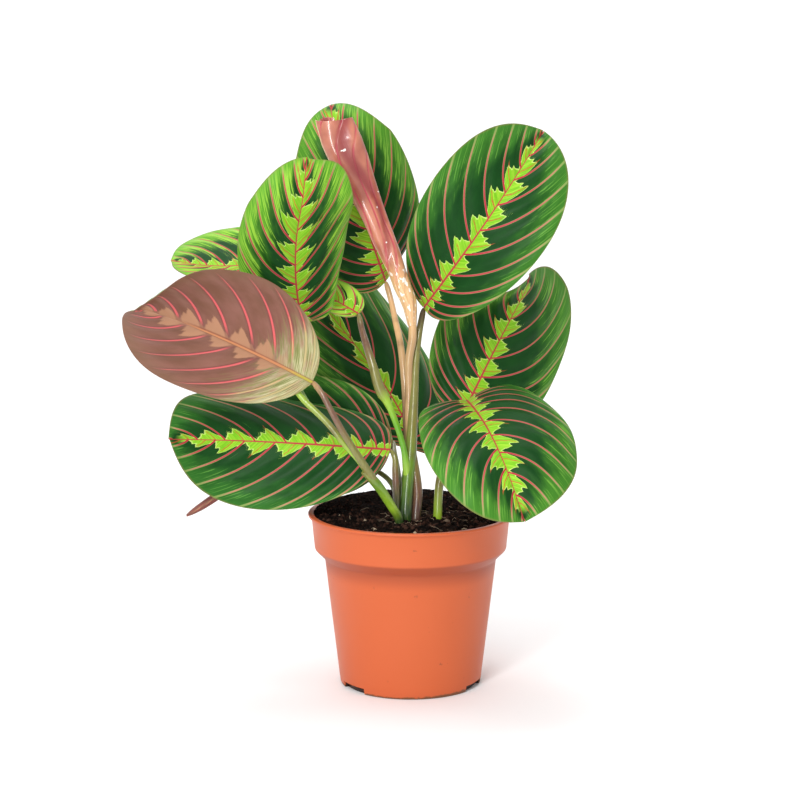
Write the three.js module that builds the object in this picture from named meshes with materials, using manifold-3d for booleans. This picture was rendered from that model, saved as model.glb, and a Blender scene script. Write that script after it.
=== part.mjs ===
// A potted prayer plant (maranta): three leafy shoots standing in soil in a plastic nursery pot.
// Millimetres, +Z up. The origin is the middle of the pot's flat foot.
import * as THREE from "three";
import { mergeVertices } from "three/addons/utils/BufferGeometryUtils.js";
import Module from "manifold-3d";

const wasm = await Module();
wasm.setup();

const SEAT_GAP = 0.3; // clearance left between two pieces that touch
const rad = THREE.MathUtils.degToRad;
const vec = (p) => new THREE.Vector3(...p);

// Pot: a 12 cm nursery pot with a tall collar, a thin lip and drainage slots at the foot.
const POT_HEIGHT = 104;
const LIP_RADIUS = 61.2;
const LIP_DEPTH = 1.5;
const LIP_ROUND = 0.4;
const COLLAR_TOP_RADIUS = 59.3;
const COLLAR_FOOT_RADIUS = 57.4;
const COLLAR_FOOT_Z = 83;
const SHOULDER_RADIUS = 51.4;
const SHOULDER_Z = 77;
const FOOT_RADIUS = 42.2;
const FOOT_BEVEL = 0.8;
const POT_WALL = 1.4;
const POT_FLOOR = 2;
const POT_SIDES = 72;
const SLOT_COUNT = 3;
const SLOT_WIDTH = 21;
const SLOT_HEIGHT = 3.8;
const SLOT_INNER_RADIUS = 39.5;
const SLOT_FIRST_ANGLE = 215; // degrees about +Z from +X

// Soil: fills the pot to just under the lip and stands a little higher at the back.
const SOIL_LEVEL = 103.4;
const SOIL_BACK_RISE = 1.5;
const SOIL_BUMP = 0.9;
const SOIL_WAVES = [6.1, 5.3, 9.7];
const SOIL_RINGS = 9;

// Leaves: blades grow from `base` through `middle` to `tip`. `halves` are the widths of the left
// and the right half seen from the upper face, `face` is where that face looks, and angles are in
// degrees: `twist` along the midrib, `fold` at it, `cup` of each half, `curl` of the tip past the
// share of the length that it names. `lobe` is how heart-shaped the base is, and `shoulders` is how
// far each half bulges towards the tip, as a share of the length.
const BLADE_THICKNESS = 0.8;
const BLADE_ROWS = 15;
const BLADE_COLUMNS = 4;
const VEIN_CROWDING = 2.9; // power of t that gives a side vein's place on the midrib
const VEIN_LEAN = 0.3; // how soon a side vein turns towards the tip
const VEIN_SPREAD = 0.72; // and how far out it does so
const BASE_FULLNESS = 0.86; // powers of the margin's sine curve: less is fuller
const TIP_FULLNESS = 1.1;
const LOBE_FULLNESS = 0.24; // taken off the base's power by a whole lobe
const LOBE_DROP = 0.03; // share of the length by which a whole lobe hangs back past the base
const LOBE_END = 0.36; // the side vein at which the lobe ends
const FINE_POINT = 0.025; // share of the length in the tip's fine point
const FLAT_TIP = [1, 0];
const NO_SHOULDERS = [0, 0];
const LEAVES = {
  leaf_top: {
    base: [-15, 38, 238], middle: [-29, 22, 282], tip: [-53, 30, 356],
    halves: [39, 44], face: [-0.09, -0.78, 0.62], twist: -23, fold: 2, cup: [-41, -58],
    lobe: -0.2, curl: [0.79, 93], shoulders: NO_SHOULDERS,
  },
  leaf_upper_left: {
    base: [-63, -25, 221], middle: [-66, -31, 268], tip: [-54, -52, 315],
    halves: [35, 37], face: [0.4, -0.79, 0.46], twist: -11, fold: 7, cup: [-51, -34],
    lobe: 1, curl: [0.71, 81], shoulders: [0.01, 0.13],
  },
  leaf_upper_right: {
    base: [8, 8, 226], middle: [47, -15, 284], tip: [78, 15, 330],
    halves: [40, 38], face: [0.23, -0.74, 0.64], twist: 2, fold: 13, cup: [6, -26],
    lobe: -0.1, curl: FLAT_TIP, shoulders: NO_SHOULDERS,
  },
  leaf_middle_right: {
    base: [30, 20, 156], middle: [53, 33, 201], tip: [72, -1, 245],
    halves: [39, 51], face: [0.36, -0.81, 0.45], twist: 9, fold: -5, cup: [-33, -32],
    lobe: -0.2, curl: [0.8, 12], shoulders: NO_SHOULDERS,
  },
  leaf_lower_right: {
    base: [33, -16, 174], middle: [48, -73, 158], tip: [63, -96, 119],
    halves: [51, 41], face: [-0.01, -0.68, 0.73], twist: -9, fold: 20, cup: [-66, -39],
    lobe: 1.6, curl: FLAT_TIP, shoulders: [0.02, 0.03],
  },
  leaf_left_front: {
    base: [-57, -37, 189], middle: [-113, -58, 220], tip: [-154, -86, 239],
    halves: [47, 47], face: [0.69, 0.7, -0.17], twist: -1, fold: 9, cup: [-15, -10],
    lobe: -0.3, curl: [0.89, 24], shoulders: [0.07, -0.01],
  },
  leaf_left_lower: {
    base: [-12, -12, 144], middle: [-86, -3, 147], tip: [-142, -22, 152],
    halves: [41, 49], face: [0.21, -0.85, 0.49], twist: -20, fold: -5, cup: [-20, -60],
    lobe: -0.2, curl: FLAT_TIP, shoulders: NO_SHOULDERS,
  },
  leaf_left_back: {
    base: [-11, 21, 143], middle: [-67, 34, 144], tip: [-139, 43, 156],
    halves: [39, 39], face: [0, -0.92, 0.36], twist: 1, fold: 5, cup: [-10, -12],
    lobe: -0.3, curl: FLAT_TIP, shoulders: NO_SHOULDERS,
  },
  leaf_left_small: {
    base: [-64, 10, 255], middle: [-108, 14, 250], tip: [-142, 12, 254],
    halves: [20, 47], face: [-0.1, -0.48, 0.87], twist: 25, fold: 3, cup: [-5, -16],
    lobe: 0.3, curl: FLAT_TIP, shoulders: [0.08, 0.03],
  },
  leaf_back_centre: {
    base: [1, 62, 130], middle: [-18, 71, 172], tip: [-76, 62, 245],
    halves: [38, 60], face: [0.49, -0.8, 0.35], twist: -5, fold: 2, cup: [-8, -50],
    lobe: 1.8, curl: FLAT_TIP, shoulders: [0.05, 0.04],
  },
  leaf_small: {
    base: [-31, 2, 223], middle: [-45, 10, 230], tip: [-63, 18, 238],
    halves: [15, 14], face: [0.1, -0.6, 0.8], twist: 0, fold: 12, cup: [10, 10],
    lobe: 0.3, curl: FLAT_TIP, shoulders: NO_SHOULDERS,
  },
  leaf_hanging: {
    base: [-90, 7, 133], middle: [-110, 3, 117], tip: [-134, -3, 102],
    halves: [5, 5], face: [0.3, 0.9, 0.1], twist: 0, fold: 50, cup: [20, 20],
    lobe: 0, curl: FLAT_TIP, shoulders: NO_SHOULDERS,
  },
};

// The rolled young leaf is a scroll of its blade about a rising axis. The radii are those of
// its outer turn at the points of the axis, and the skew is how far its top slants, as a share of
// the radius.
const SCROLL_AXIS = [
  [1, -4, 217], [-1, -3, 231], [-5, -2, 241], [-9, -1, 252], [-14, 0, 264], [-20, 1, 277],
  [-25, 2, 289], [-30, 3, 301], [-35, 4, 313], [-40, 5, 325], [-45, 6, 338],
];
const SCROLL_RADII = [2.6, 4.8, 5.7, 6.2, 6.8, 8, 9, 10.2, 12, 12.7, 11.6];
const SCROLL_SKEW = 0.36;
const SCROLL_TURNS = 1.2;
const SCROLL_PITCH = 0.35;
const SCROLL_FLATTENING = 0.45;
const SCROLL_FIRST_ANGLE = 340;
const SCROLL_THICKNESS = 0.7;
const SCROLL_ROWS = 13;
const SCROLL_COLUMNS = 30;

// Stems: each shoot is grown as one piece from the stems in its list. A stem lists its points
// and its radii, evenly spaced along it, and one that carries a leaf ends at that leaf's base.
const STEM_SIDES = 8;
const STEM_STEP = 6; // a section for about every so many millimetres of stem
const PETIOLE_END = 1.7;
const STEM_FOOT_Z = 80;
const SHOOTS = {
  left_shoot: [
    { points: [[-8, -31, STEM_FOOT_Z], [-7, -27, 105], [-11, -29, 113], [-20, -34, 128], [-27, -36, 136]],
      radii: [2.6, 2.6, 2.7, 3, 2.5] },
    { points: [[-20, -34, 128], [-31, -37, 144], [-38, -38, 152], [-48, -36, 164], [-66, -30, 182],
      [-69, -28, 194], [-66, -26, 208]],
      radii: [2.4, 2.2, 2.1, 2, 1.9, 1.8, 1.6, 1.5], leaf: "leaf_upper_left" },
    { points: [[-20, -34, 128], [-32, -41, 148], [-39, -44, 160], [-46, -44, 173], [-51, -42, 182]],
      radii: [2.4, 2.2, 2, 1.8, 1.7], leaf: "leaf_left_front" },
    { points: [[-60, -32, 175], [-78, -8, 205], [-78, 8, 230]],
      radii: [1.7, 1.5, 1.4], leaf: "leaf_left_small" },
  ],
  centre_shoot: [
    { points: [[-3, -18, STEM_FOOT_Z], [-3, -20, 104], [-2, -17, 121], [0, -13, 142], [1, -11, 158],
      [2, -7, 176], [3, -3, 196], [5, 1, 212]],
      radii: [3.5, 3.6, 3.5, 3.5, 3, 2.6, 2.3, 2], leaf: "leaf_upper_right" },
    { points: [[-6, -18, STEM_FOOT_Z], [-8, -19, 104], [-8.5, -18, 121], [-9, -16.5, 132],
      [-9.3, -14.5, 139.5]],
      radii: [2.4, 2.4, 2.2, 2, 1.7], leaf: "leaf_left_lower" },
    { points: [[2, -18, STEM_FOOT_Z], [3, -18, 103], [4, -15, 120], [1, -12, 142]],
      radii: [3, 3, 3, 2.6] },
    { points: [[-2, -16, 130], [-4, -17, 145], [-8, -18, 159], [-14, -18, 174], [-18, -18, 181],
      [-22, -16, 194], [-26, -10, 206], [-29, -2, 215]],
      radii: [2.4, 2.1, 2.1, 2.3, 3.5, 3, 2.4, 2.1, 1.8], leaf: "leaf_small" },
    { points: [[0, -12, 142], [-2, -4, 154], [-3, 4, 174], [-6, 18, 202], [-9, 27, 215], [-12, 34, 228]],
      radii: [2.4, 2.4, 2.2, 2, 1.7], leaf: "leaf_top" },
    { points: [[0, -12, 142], [-1, -8, 158], [-1, -6, 176], [-1, -5, 196], [1, -4, 209], [1.2, -4, 216.3]],
      radii: [2.4, 2.4, 2.4, 2.6, 2.4] },
    { points: [[-4, -16, 112], [-4, -4, 122], [-2, 16, 130], [0, 40, 130]],
      radii: [2.2, 2, 1.9, 1.7], leaf: "leaf_back_centre" },
    { points: [[-6, -16, 112], [-8, 0, 130], [-10, 12, 139]],
      radii: [2.2, 1.9, 1.7], leaf: "leaf_left_back" },
    { points: [[-6, -16, 110], [-14, 2, 124], [-42, 10, 136], [-66, 10, 141], [-83, 8, 137]],
      radii: [1.8, 1.6, 1.4, 1.3, 1.2], leaf: "leaf_hanging" },
  ],
  right_shoot: [
    { points: [[15, -14, STEM_FOOT_Z], [16, -14, 105], [17, -12, 123], [20, -10, 137], [25, -9, 155],
      [31, -12, 168]],
      radii: [2.7, 2.7, 2.6, 2.4, 2, 1.9], leaf: "leaf_lower_right" },
    { points: [[19, -11, 130], [22, -6, 140], [26, 6, 148]],
      radii: [2.2, 1.9, 1.8], leaf: "leaf_middle_right" },
  ],
};

const plastic = new THREE.MeshStandardMaterial({ color: 0xec7849, roughness: 0.45, metalness: 0 });
const soilMaterial = new THREE.MeshStandardMaterial({ color: 0x1d1512, roughness: 1, metalness: 0 });
const stemMaterial = new THREE.MeshStandardMaterial({ color: 0x8fae3a, roughness: 0.5, metalness: 0 });
const leafMaterial = new THREE.MeshStandardMaterial({ color: 0x1f6b2c, roughness: 0.4, metalness: 0 });
const youngMaterial = new THREE.MeshStandardMaterial({ color: 0xbe786e, roughness: 0.35, metalness: 0 });

// The closed surface of a geometry as a solid for cutting and joining.
function solidOf(geometry) {
  const bare = geometry.clone();
  bare.deleteAttribute("normal");
  bare.deleteAttribute("uv");
  const merged = mergeVertices(bare, 1e-4);
  const corners = [];
  const index = merged.index.array;
  for (let i = 0; i < index.length; i += 3) {
    const [a, b, c] = [index[i], index[i + 1], index[i + 2]];
    if (a !== b && b !== c && a !== c) corners.push(a, b, c);
  }
  return new wasm.Manifold(new wasm.Mesh({
    numProp: 3,
    vertProperties: new Float32Array(merged.attributes.position.array),
    triVerts: new Uint32Array(corners),
  }));
}

function meshOf(solid, name, material) {
  const { numProp, numVert, vertProperties, triVerts } = solid.getMesh();
  const positions = new Float32Array(numVert * 3);
  for (let i = 0; i < numVert; i++) {
    positions.set(vertProperties.subarray(i * numProp, i * numProp + 3), i * 3);
  }
  const geometry = new THREE.BufferGeometry();
  geometry.setAttribute("position", new THREE.BufferAttribute(positions, 3));
  geometry.setIndex(new THREE.BufferAttribute(new Uint32Array(triVerts), 1));
  geometry.computeVertexNormals();
  const mesh = new THREE.Mesh(geometry, material);
  mesh.name = name;
  return mesh;
}

// A body of revolution about +Z from a profile of [radius, height] that runs from the axis
// below, up the outside, and back to the axis.
function revolved(profile, sides) {
  const points = profile.map(([r, z]) => new THREE.Vector2(r, z));
  return new THREE.LatheGeometry(points, sides).rotateX(Math.PI / 2);
}

function joined(solids) {
  return solids.reduce((whole, next) => whole.add(next));
}

// Pot
function innerWallRadius(z) {
  const line = [
    [POT_FLOOR, FOOT_RADIUS - POT_WALL],
    [SHOULDER_Z + POT_WALL, SHOULDER_RADIUS - POT_WALL],
    [COLLAR_FOOT_Z + POT_WALL, COLLAR_FOOT_RADIUS - POT_WALL],
    [POT_HEIGHT, COLLAR_TOP_RADIUS - POT_WALL],
  ];
  const k = Math.max(1, line.findIndex(([height]) => height >= z));
  const [[z0, r0], [z1, r1]] = [line[k - 1], line[k]];
  return r0 + ((r1 - r0) * (z - z0)) / (z1 - z0);
}

function makePot() {
  const lipFoot = POT_HEIGHT - LIP_DEPTH;
  const outside = [
    [0, 0],
    [FOOT_RADIUS - FOOT_BEVEL, 0],
    [FOOT_RADIUS, FOOT_BEVEL],
    [SHOULDER_RADIUS, SHOULDER_Z],
    [COLLAR_FOOT_RADIUS - LIP_ROUND, COLLAR_FOOT_Z - LIP_ROUND],
    [COLLAR_FOOT_RADIUS, COLLAR_FOOT_Z + LIP_ROUND],
    [COLLAR_TOP_RADIUS, lipFoot],
    [LIP_RADIUS - LIP_ROUND, lipFoot],
    [LIP_RADIUS, lipFoot + LIP_ROUND],
    [LIP_RADIUS, POT_HEIGHT - LIP_ROUND],
    [LIP_RADIUS - LIP_ROUND, POT_HEIGHT],
  ];
  const heights = [POT_HEIGHT, COLLAR_FOOT_Z + POT_WALL, SHOULDER_Z + POT_WALL, POT_FLOOR];
  const inside = heights.map((z) => [innerWallRadius(z), z]);
  let pot = solidOf(revolved([...outside, ...inside, [0, POT_FLOOR]], POT_SIDES));
  const slotReach = 8;
  for (let k = 0; k < SLOT_COUNT; k++) {
    const slot = new THREE.BoxGeometry(slotReach, SLOT_WIDTH, 2 * SLOT_HEIGHT);
    slot.translate(SLOT_INNER_RADIUS + slotReach / 2, 0, 0);
    slot.rotateZ(rad(SLOT_FIRST_ANGLE + (360 * k) / SLOT_COUNT));
    pot = pot.subtract(solidOf(slot));
  }
  return pot;
}

// Soil
function soilHeight(x, y) {
  const rise = (SOIL_BACK_RISE * y) / COLLAR_TOP_RADIUS;
  const [a, b, c] = SOIL_WAVES;
  const waves = Math.sin(x / a + 0.6) * Math.cos(y / b) + 0.6 * Math.sin((x + 2 * y) / c + 2);
  return SOIL_LEVEL + rise + (SOIL_BUMP * waves) / 1.6;
}

function makeSoil(sockets) {
  const foot = POT_FLOOR + SEAT_GAP;
  const topRadius = innerWallRadius(SOIL_LEVEL) - 2 * SEAT_GAP;
  const heights = [foot, SHOULDER_Z + POT_WALL, COLLAR_FOOT_Z + POT_WALL, SOIL_LEVEL - 4];
  const profile = [[0, foot], ...heights.map((z) => [innerWallRadius(z) - 2 * SEAT_GAP, z])];
  for (let k = 0; k <= SOIL_RINGS; k++) profile.push([topRadius * (1 - k / SOIL_RINGS), SOIL_LEVEL]);
  const geometry = revolved(profile, POT_SIDES);
  const at = geometry.attributes.position;
  for (let i = 0; i < at.count; i++) {
    if (at.getZ(i) > SOIL_LEVEL - 1) at.setZ(i, soilHeight(at.getX(i), at.getY(i)));
  }
  return sockets.reduce((soil, socket) => soil.subtract(socket), solidOf(geometry));
}

// Stems
// A stem with round sections along a smooth curve through its points, thick as the radii say.
function stem(points, radii) {
  const curve = new THREE.CatmullRomCurve3(points.map(vec));
  const steps = Math.max(points.length, Math.round(curve.getLength() / STEM_STEP));
  const positions = [];
  const corners = [];
  const across = new THREE.Vector3(0, 1, 0);
  for (let i = 0; i <= steps; i++) {
    const t = i / steps;
    const k = Math.min(Math.floor(t * (radii.length - 1)), radii.length - 2);
    const radius = THREE.MathUtils.lerp(radii[k], radii[k + 1], t * (radii.length - 1) - k);
    const along = curve.getTangent(t).normalize();
    const u = new THREE.Vector3().crossVectors(along, across).normalize();
    const v = new THREE.Vector3().crossVectors(along, u);
    const centre = curve.getPoint(t);
    for (let s = 0; s < STEM_SIDES; s++) {
      const a = (2 * Math.PI * s) / STEM_SIDES;
      const rim = centre.clone().addScaledVector(u, radius * Math.cos(a));
      positions.push(...rim.addScaledVector(v, radius * Math.sin(a)));
    }
  }
  const [first, last] = [(steps + 1) * STEM_SIDES, (steps + 1) * STEM_SIDES + 1];
  positions.push(...curve.getPoint(0), ...curve.getPoint(1));
  for (let s = 0; s < STEM_SIDES; s++) {
    const next = (s + 1) % STEM_SIDES;
    for (let i = 0; i < steps; i++) {
      const [a, b] = [i * STEM_SIDES, (i + 1) * STEM_SIDES];
      corners.push(a + s, a + next, b + next, a + s, b + next, b + s);
    }
    corners.push(first, next, s, last, steps * STEM_SIDES + s, steps * STEM_SIDES + next);
  }
  const geometry = new THREE.BufferGeometry();
  geometry.setAttribute("position", new THREE.Float32BufferAttribute(positions, 3));
  geometry.setIndex(corners);
  return solidOf(geometry);
}

// The plain hole in the soil that a stem stands in, a little wider and deeper than the stem.
function socket(points, radii) {
  const [foot, ...rest] = points;
  const deeper = [foot[0], foot[1], foot[2] - SEAT_GAP];
  return stem([deeper, ...rest], radii.map((radius) => radius + 1.5 * SEAT_GAP));
}

// Sheets
// A sheet of even thickness. Each row lists the sheet's points with its upper and under side;
// a row of one point closes the sheet there. Both sides are split into triangles alike.
function sheet(rows) {
  const columns = Math.max(...rows.map((row) => row.length));
  const positions = [];
  const ids = rows.map((row) => row.map(({ upper, under }) => {
    positions.push(...upper, ...under);
    return positions.length / 3 - 2;
  }));
  const at = (i, j) => (ids[i].length === 1 ? ids[i][0] : ids[i][j]);
  const corners = [];
  const face = (a, b, c) => {
    if (a !== b && b !== c && a !== c) corners.push(a, b, c);
  };
  const bothSides = (a, b, c) => {
    face(a, b, c);
    if (a !== b && b !== c && a !== c) face(a + 1, c + 1, b + 1);
  };
  const edge = (a, b) => {
    if (a !== b) corners.push(a, a + 1, b, b, a + 1, b + 1);
  };
  for (let i = 0; i + 1 < rows.length; i++) {
    for (let j = 0; j + 1 < columns; j++) {
      const [a, b, c, d] = [at(i, j), at(i, j + 1), at(i + 1, j + 1), at(i + 1, j)];
      if (j < (columns - 1) / 2) {
        bothSides(a, b, d);
        bothSides(b, c, d);
      } else {
        bothSides(a, b, c);
        bothSides(a, c, d);
      }
    }
    edge(at(i, columns - 1), at(i + 1, columns - 1));
    edge(at(i + 1, 0), at(i, 0));
  }
  for (let j = 0; j + 1 < columns; j++) {
    edge(at(0, j), at(0, j + 1));
    edge(at(rows.length - 1, j + 1), at(rows.length - 1, j));
  }
  const geometry = new THREE.BufferGeometry();
  geometry.setAttribute("position", new THREE.Float32BufferAttribute(positions, 3));
  geometry.setIndex(corners);
  return solidOf(geometry);
}

// Leaves
// Where the flat blade's point lies, as shares of its length and of its half width. `t` names a
// side vein, 0 at the base and 1 at the tip, and `v` runs along it from the midrib to the margin.
function flatBlade(t, v, lobe, shoulder) {
  const root = t ** VEIN_CROWDING;
  const low = BASE_FULLNESS - LOBE_FULLNESS * lobe;
  const power = THREE.MathUtils.lerp(low, TIP_FULLNESS, THREE.MathUtils.smoothstep(t, 0, 1));
  const sweep = ((1 - FINE_POINT) * (1 - Math.cos(Math.PI * t))) / 2 + FINE_POINT * t ** 10;
  const drop = LOBE_DROP * lobe * Math.sin(Math.PI * Math.min(t / LOBE_END, 1));
  const end = sweep - drop + shoulder * Math.sin(Math.PI * Math.max(2 * t - 1, 0)) ** 2;
  const reach = Math.max(Math.sin(Math.PI * t), 0) ** power;
  const bend = root + VEIN_LEAN * (end - root);
  const share = 2 * v * (1 - v);
  return [
    (1 - v) ** 2 * root + share * bend + v * v * end,
    share * VEIN_SPREAD * reach + v * v * reach,
  ];
}

// The midrib's point at a share of its length, with its direction, its upper face's direction
// and the direction of its right side.
function midrib(leaf, share) {
  const [base, middle, tip] = [vec(leaf.base), vec(leaf.middle), vec(leaf.tip)];
  const pull = middle.clone().multiplyScalar(2).addScaledVector(base, -0.5).addScaledVector(tip, -0.5);
  const curve = new THREE.QuadraticBezierCurve3(base, pull, tip);
  const point = curve.getPoint(share);
  const along = pull.clone().sub(base).multiplyScalar(1 - share);
  along.addScaledVector(tip.clone().sub(pull), share).normalize();
  const up = vec(leaf.face);
  up.addScaledVector(along, -up.dot(along)).normalize();
  up.applyAxisAngle(along, rad(leaf.twist) * (share - 0.5));
  const right = new THREE.Vector3().crossVectors(along, up);
  const [start, angle] = leaf.curl;
  if (angle > 0 && share > start) {
    const length = base.distanceTo(tip) * (1 - start);
    const past = ((share - start) / (1 - start)) * length;
    const radius = length / rad(angle);
    const turn = past / radius;
    point.addScaledVector(along, radius * Math.sin(turn) - past);
    point.addScaledVector(up, -radius * (1 - Math.cos(turn)));
    const lifted = up.clone().multiplyScalar(Math.cos(turn)).addScaledVector(along, Math.sin(turn));
    along.multiplyScalar(Math.cos(turn)).addScaledVector(up, -Math.sin(turn));
    up.copy(lifted);
  }
  return { point, along, up, right };
}

// One point of the blade: each half rises from the fold at the midrib and bends by its cup.
function bladePoint(leaf, t, v, side, thickness) {
  const half = side < 0 ? 0 : 1;
  const [share, reach] = flatBlade(t, v, leaf.lobe, leaf.shoulders[half]);
  const { point, up, right } = midrib(leaf, share);
  const width = leaf.halves[half];
  const bend = rad(leaf.cup[half]) / width;
  const fold = rad(leaf.fold);
  const angle = fold + bend * reach * width;
  point.addScaledVector(right, (side * (Math.sin(angle) - Math.sin(fold))) / bend);
  point.addScaledVector(up, (Math.cos(fold) - Math.cos(angle)) / bend);
  const out = up.multiplyScalar(Math.cos(angle)).addScaledVector(right, -side * Math.sin(angle));
  return twoSides(point, out, thickness);
}

function twoSides(point, out, thickness) {
  return {
    upper: point.clone().addScaledVector(out, thickness / 2),
    under: point.clone().addScaledVector(out, -thickness / 2),
  };
}

function makeBlade(leaf, thickness) {
  const rows = [];
  for (let i = 0; i < BLADE_ROWS; i++) {
    const t = i / (BLADE_ROWS - 1);
    const row = [];
    if (i === 0 || i === BLADE_ROWS - 1) {
      row.push(bladePoint(leaf, t, 0, 1, thickness));
    } else {
      for (let j = -BLADE_COLUMNS; j <= BLADE_COLUMNS; j++) {
        row.push(bladePoint(leaf, t, Math.abs(j) / BLADE_COLUMNS, Math.sign(j) || 1, thickness));
      }
    }
    rows.push(row);
  }
  return sheet(rows);
}

// The room that a stem's end leaves free round the base of its leaf.
function bladeRoom(leaf) {
  const { along } = midrib(leaf, 0);
  const base = vec(leaf.base).addScaledVector(along, -2 * SEAT_GAP).toArray();
  const halves = leaf.halves.map((width) => width + 2 * SEAT_GAP);
  return makeBlade({ ...leaf, base, halves }, BLADE_THICKNESS + 2 * SEAT_GAP);
}

// The scroll winds inwards from its outer turn with the upper face inside, and it is pressed
// flatter towards the top.
function makeScroll() {
  const axis = new THREE.CatmullRomCurve3(SCROLL_AXIS.map(vec));
  const rows = [];
  const outer = SCROLL_RADII.length - 1;
  for (let i = 0; i < SCROLL_ROWS; i++) {
    const u = i / (SCROLL_ROWS - 1);
    const k = Math.min(Math.floor(u * outer), outer - 1);
    const radius = THREE.MathUtils.lerp(SCROLL_RADII[k], SCROLL_RADII[k + 1], u * outer - k);
    const along = axis.getTangent(u).normalize();
    const across = new THREE.Vector3().crossVectors(along, new THREE.Vector3(0, 1, 0)).normalize();
    const away = new THREE.Vector3().crossVectors(across, along);
    const row = [];
    for (let j = 0; j <= SCROLL_COLUMNS; j++) {
      const wound = j / SCROLL_COLUMNS;
      const angle = rad(SCROLL_FIRST_ANGLE) - 2 * Math.PI * SCROLL_TURNS * wound;
      const reach = radius * (1 - SCROLL_PITCH * wound);
      const inwards = across.clone().multiplyScalar(-Math.cos(angle));
      inwards.addScaledVector(away, -Math.sin(angle));
      const point = axis.getPoint(u).addScaledVector(across, reach * Math.cos(angle));
      point.addScaledVector(away, reach * (1 - SCROLL_FLATTENING * u) * Math.sin(angle));
      point.addScaledVector(along, SCROLL_SKEW * reach * Math.cos(angle) * u ** 6);
      row.unshift(twoSides(point, inwards, SCROLL_THICKNESS));
    }
    rows.push(row);
  }
  return sheet(rows);
}

// Assembly
const plant = new THREE.Group();
plant.name = "potted_prayer_plant";

plant.add(meshOf(makePot(), "pot", plastic));

const sockets = [];
for (const [name, stems] of Object.entries(SHOOTS)) {
  const grown = stems.map(({ points, radii, leaf }) => {
    const end = LEAVES[leaf] ? [LEAVES[leaf].base] : [];
    const along = stem([...points, ...end], LEAVES[leaf] ? [...radii, PETIOLE_END] : radii);
    return LEAVES[leaf] ? along.subtract(bladeRoom(LEAVES[leaf])) : along;
  });
  plant.add(meshOf(joined(grown), name, stemMaterial));
  for (const { points, radii } of stems) {
    if (points[0][2] === STEM_FOOT_Z) sockets.push(socket(points, radii));
  }
}

for (const [name, leaf] of Object.entries(LEAVES)) {
  plant.add(meshOf(makeBlade(leaf, BLADE_THICKNESS), name, leafMaterial));
}
plant.add(meshOf(makeScroll(), "leaf_rolled", youngMaterial));
plant.add(meshOf(makeSoil(sockets), "soil", soilMaterial));

export default plant;
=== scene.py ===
import math
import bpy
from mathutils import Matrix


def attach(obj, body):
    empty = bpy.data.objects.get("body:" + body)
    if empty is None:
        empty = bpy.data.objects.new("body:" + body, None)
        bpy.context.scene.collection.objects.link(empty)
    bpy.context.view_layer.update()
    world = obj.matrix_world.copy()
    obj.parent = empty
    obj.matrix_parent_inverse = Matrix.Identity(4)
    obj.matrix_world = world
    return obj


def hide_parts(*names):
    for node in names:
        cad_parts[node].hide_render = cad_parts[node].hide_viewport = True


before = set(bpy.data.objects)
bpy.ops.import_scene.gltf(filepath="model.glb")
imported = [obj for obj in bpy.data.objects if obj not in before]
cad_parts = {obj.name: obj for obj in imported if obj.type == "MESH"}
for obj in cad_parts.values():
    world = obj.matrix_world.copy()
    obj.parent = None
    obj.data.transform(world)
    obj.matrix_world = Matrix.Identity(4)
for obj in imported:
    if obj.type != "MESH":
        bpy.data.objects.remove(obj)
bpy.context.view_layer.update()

from types import SimpleNamespace

import bpy
import numpy as np


# ------------------------ the pot
# One moulded nursery pot of thin satin plastic: a tall collar over a tapered wall, a thin lip, and
# three slots at the foot corner through which the soil shows. It stands free and holds the soil.

scene = bpy.context.scene

MM = 0.001
POT_HEIGHT = 104.0
POT_FLOOR = 2.0
POT_COLUMNS = 240
SLOT_HEIGHT = 3.8
SLOT_REACH = 39.5
SLOT_CENTRES = (215, 335, 95)
SLOT_HALF_ANGLE = 14.5
TERRACOTTA = (0.540, 0.102, 0.028), (0.585, 0.118, 0.035)
# Next, a dark speck and the painted shadow under the collar.
SPECK, PAINTED_COLLAR_SHADOW = (0.10, 0.03, 0.02), (0.24, 0.038, 0.015)
FOOT_DIRT, SLOT_DARK = (0.09, 0.055, 0.022), (0.010, 0.006, 0.004)


def grid_faces(rows, columns, start=0, closed=False):
    """The quads of a grid of points numbered row by row; closed joins the last column to the first."""
    across = columns if closed else columns - 1
    i, j = np.meshgrid(np.arange(rows - 1), np.arange(across), indexing="ij")
    k = (j + 1) % columns
    corners = [i * columns + j, i * columns + k, (i + 1) * columns + k, (i + 1) * columns + j]
    return np.stack(corners, -1).reshape(-1, 4) + start


def make_piece(name, points, faces, node, sharp, numbers=None, colours=None):
    """A mesh object from points in millimetres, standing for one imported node. It is smooth but for
    edges sharper than an angle, and carries numbers and colours for its points."""
    mesh = bpy.data.meshes.new(name)
    mesh.from_pydata((np.asarray(points) * MM).tolist(), [], [list(map(int, face)) for face in faces])
    for key, values in (numbers or {}).items():
        mesh.attributes.new(key, "FLOAT", "POINT").data.foreach_set("value", np.ravel(values))
    for key, values in (colours or {}).items():
        mesh.attributes.new(key, "FLOAT_COLOR", "POINT").data.foreach_set("color", np.ravel(values))
    mesh.shade_smooth()
    mesh.set_sharp_from_angle(angle=math.radians(sharp))
    piece = bpy.data.objects.new(name, mesh)
    scene.collection.objects.link(piece)
    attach(piece, "root")
    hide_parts(node)
    return piece


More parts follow.
